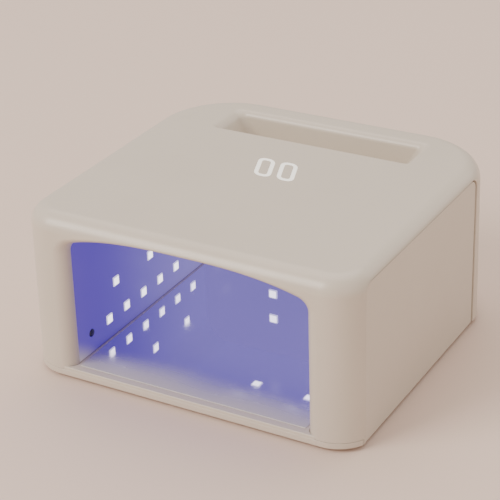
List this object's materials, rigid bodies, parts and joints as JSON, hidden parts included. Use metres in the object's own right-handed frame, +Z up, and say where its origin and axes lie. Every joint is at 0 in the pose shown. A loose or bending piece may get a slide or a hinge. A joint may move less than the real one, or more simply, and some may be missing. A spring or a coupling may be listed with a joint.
{
  "type": "gel nail curing lamp",
  "caption": "Tabletop lamp that cures gel nail varnish: arched mouth, mirror floor, light beads in a violet chamber, grip recess in the top and a lift-off base tray.",
  "frame": {"origin": "on the table plane under the middle of the lamp's outline, at the underside of the feet", "axes": "+X to the right of someone facing the mouth, +Y to the back with the rear panel, +Z up"},
  "size_m": [0.2218, 0.215, 0.1094],
  "materials": {
    "shell_plastic": "satin moulded shell, warm off-white",
    "cheek_plastic": "fine satin side and rear panels, a shade darker than the shell",
    "liner_plastic": "bright reflecting liner, lit violet",
    "mirror_steel": "polished mirror floor",
    "board_green": "circuit board laminate",
    "dark_plastic": "dark moulded plastic",
    "foot_rubber": "soft foot rubber",
    "screw_steel": "zinc-plated screws",
    "magnet_nickel": "nickel-plated magnets",
    "cell_wrap": "coloured cell sleeve",
    "frame_plastic": "inner frames",
    "digit_glow": "lit milky light guide"
  },
  "bodies": {
    "base": {"base_tray": "shell_plastic", "mirror_floor": "mirror_steel", "foot_front_left": "foot_rubber", "foot_front_right": "foot_rubber", "foot_rear_left": "foot_rubber", "foot_rear_right": "foot_rubber", "tray_magnet_front_left": "magnet_nickel", "tray_magnet_front_right": "magnet_nickel", "tray_magnet_rear_left": "magnet_nickel", "tray_magnet_rear_right": "magnet_nickel"},
    "lamp": {"upper_housing": "shell_plastic", "left_cheek": "cheek_plastic", "right_cheek": "cheek_plastic", "chamber_liner": "liner_plastic", "left_light_board": "board_green", "right_light_board": "board_green", "rear_light_board": "board_green", "ceiling_light_board": "board_green", "sensor_emitter": "dark_plastic", "sensor_receiver": "dark_plastic", "display_module": "dark_plastic", "control_board": "board_green", "digit_tens": "digit_glow", "digit_units": "digit_glow", "chassis_frame": "frame_plastic", "cell_cradle": "frame_plastic", "power_board": "board_green", "rear_panel": "cheek_plastic", "power_inlet": "dark_plastic", "switch_frame": "dark_plastic", "chassis_screw_front_left": "screw_steel", "body_magnet_front_left": "magnet_nickel", "chassis_screw_front_right": "screw_steel", "body_magnet_front_right": "magnet_nickel", "chassis_screw_rear_left": "screw_steel", "body_magnet_rear_left": "magnet_nickel", "chassis_screw_rear_right": "screw_steel", "body_magnet_rear_right": "magnet_nickel", "cell_1": "cell_wrap", "cell_2": "cell_wrap", "cell_3": "cell_wrap", "cell_4": "cell_wrap"},
    "rocker": {"power_rocker": "shell_plastic"}
  },
  "joints": [
    {"name": "lamp_lift", "type": "slide", "parent": "base", "child": "lamp", "axis": [0, 0, 1], "range_m": [0, 0.11]},
    {"name": "power_switch", "type": "hinge", "parent": "lamp", "child": "rocker", "pos_m": [-0.03, 0.1005, 0.044], "axis": [0, 0, -1], "range_deg": [0, 18]}
  ]
}
